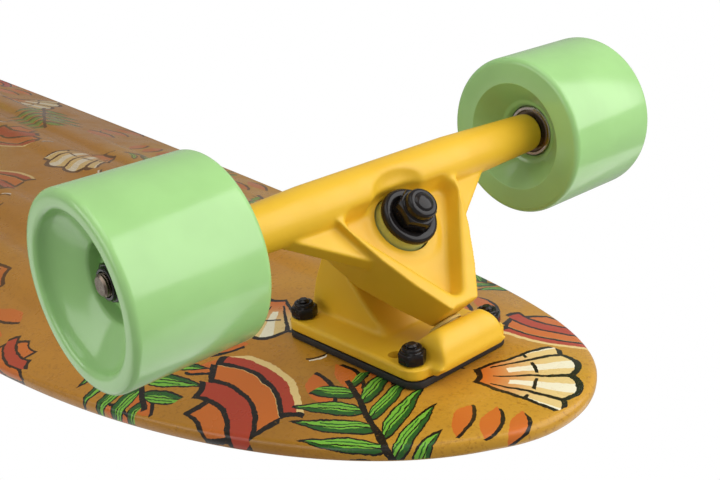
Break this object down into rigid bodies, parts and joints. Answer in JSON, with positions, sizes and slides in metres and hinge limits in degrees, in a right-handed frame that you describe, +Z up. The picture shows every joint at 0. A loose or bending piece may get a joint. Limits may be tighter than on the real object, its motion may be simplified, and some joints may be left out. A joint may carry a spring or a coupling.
{
  "type": "plastic longboard",
  "caption": "Cambered moulded plastic longboard on sprung reverse-kingpin trucks that steer, with soft urethane wheels that roll on ball bearings.",
  "frame": {"origin": "on the ground under the middle of the board, where the four wheels stand", "axes": "+X along the board towards the front truck, +Y to the board's left, +Z up; wheels down, as it is ridden"},
  "size_m": [0.914, 0.259, 0.1366],
  "materials": {
    "deck": null,
    "truck_paint": "cast aluminium in satin yellow powder coat",
    "wheel_urethane": "glossy mint green cast urethane",
    "bushing_urethane": "olive green urethane",
    "pivot_plastic": "moulded urethane cup",
    "riser_rubber": "black moulded riser",
    "black_steel": "blackened glossy steel fasteners",
    "axle_steel": "turned steel",
    "bearing_steel": "shielded steel ball bearing"
  },
  "bodies": {
    "board": {"deck": "deck", "front_riser_pad": "riser_rubber", "front_baseplate": "truck_paint", "front_pivot_cup": "pivot_plastic", "front_kingpin": "black_steel", "front_boardside_washer": "black_steel", "front_boardside_bushing": "bushing_urethane", "front_roadside_bushing": "bushing_urethane", "front_roadside_cup_washer": "black_steel", "front_kingpin_nut": "black_steel", "front_mounting_bolt_1": "black_steel", "front_mounting_bolt_2": "black_steel", "front_mounting_bolt_3": "black_steel", "front_mounting_bolt_4": "black_steel", "front_mounting_nut_1": "black_steel", "front_mounting_nut_2": "black_steel", "front_mounting_nut_3": "black_steel", "front_mounting_nut_4": "black_steel", "rear_riser_pad": "riser_rubber", "rear_baseplate": "truck_paint", "rear_pivot_cup": "pivot_plastic", "rear_kingpin": "black_steel", "rear_boardside_washer": "black_steel", "rear_boardside_bushing": "bushing_urethane", "rear_roadside_bushing": "bushing_urethane", "rear_roadside_cup_washer": "black_steel", "rear_kingpin_nut": "black_steel", "rear_mounting_bolt_1": "black_steel", "rear_mounting_bolt_2": "black_steel", "rear_mounting_bolt_3": "black_steel", "rear_mounting_bolt_4": "black_steel", "rear_mounting_nut_1": "black_steel", "rear_mounting_nut_2": "black_steel", "rear_mounting_nut_3": "black_steel", "rear_mounting_nut_4": "black_steel"},
    "front_hanger": {"front_hanger": "truck_paint", "front_axle": "axle_steel", "front_left_bearing_spacer": "axle_steel", "front_left_axle_nut": "black_steel", "front_right_bearing_spacer": "axle_steel", "front_right_axle_nut": "black_steel"},
    "front_left_wheel": {"front_left_wheel": "wheel_urethane", "front_left_inner_bearing": "bearing_steel", "front_left_outer_bearing": "bearing_steel"},
    "front_right_wheel": {"front_right_wheel": "wheel_urethane", "front_right_inner_bearing": "bearing_steel", "front_right_outer_bearing": "bearing_steel"},
    "rear_hanger": {"rear_hanger": "truck_paint", "rear_axle": "axle_steel", "rear_left_bearing_spacer": "axle_steel", "rear_left_axle_nut": "black_steel", "rear_right_bearing_spacer": "axle_steel", "rear_right_axle_nut": "black_steel"},
    "rear_left_wheel": {"rear_left_wheel": "wheel_urethane", "rear_left_inner_bearing": "bearing_steel", "rear_left_outer_bearing": "bearing_steel"},
    "rear_right_wheel": {"rear_right_wheel": "wheel_urethane", "rear_right_inner_bearing": "bearing_steel", "rear_right_outer_bearing": "bearing_steel"}
  },
  "joints": [
    {"name": "front_steer", "type": "hinge", "parent": "board", "child": "front_hanger", "pos_m": [0.4016, 0, 0.08571], "axis": [-0.742, 0, -0.6704], "range_deg": [-15, 15], "stiffness_Nm_per_rad": 80, "deforming": ["front_boardside_bushing", "front_roadside_bushing"]},
    {"name": "rear_steer", "type": "hinge", "parent": "board", "child": "rear_hanger", "pos_m": [-0.4016, 0, 0.08571], "axis": [0.742, 0, -0.6704], "range_deg": [-15, 15], "stiffness_Nm_per_rad": 80, "deforming": ["rear_boardside_bushing", "rear_roadside_bushing"]},
    {"name": "front_left_wheel_spin", "type": "hinge", "parent": "front_hanger", "child": "front_left_wheel", "pos_m": [0.36374, 0, 0.03425], "axis": [0, 1, 0], "continuous": true},
    {"name": "front_right_wheel_spin", "type": "hinge", "parent": "front_hanger", "child": "front_right_wheel", "pos_m": [0.36374, 0, 0.03425], "axis": [0, 1, 0], "continuous": true},
    {"name": "rear_left_wheel_spin", "type": "hinge", "parent": "rear_hanger", "child": "rear_left_wheel", "pos_m": [-0.36374, 0, 0.03425], "axis": [0, 1, 0], "continuous": true},
    {"name": "rear_right_wheel_spin", "type": "hinge", "parent": "rear_hanger", "child": "rear_right_wheel", "pos_m": [-0.36374, 0, 0.03425], "axis": [0, 1, 0], "continuous": true}
  ]
}
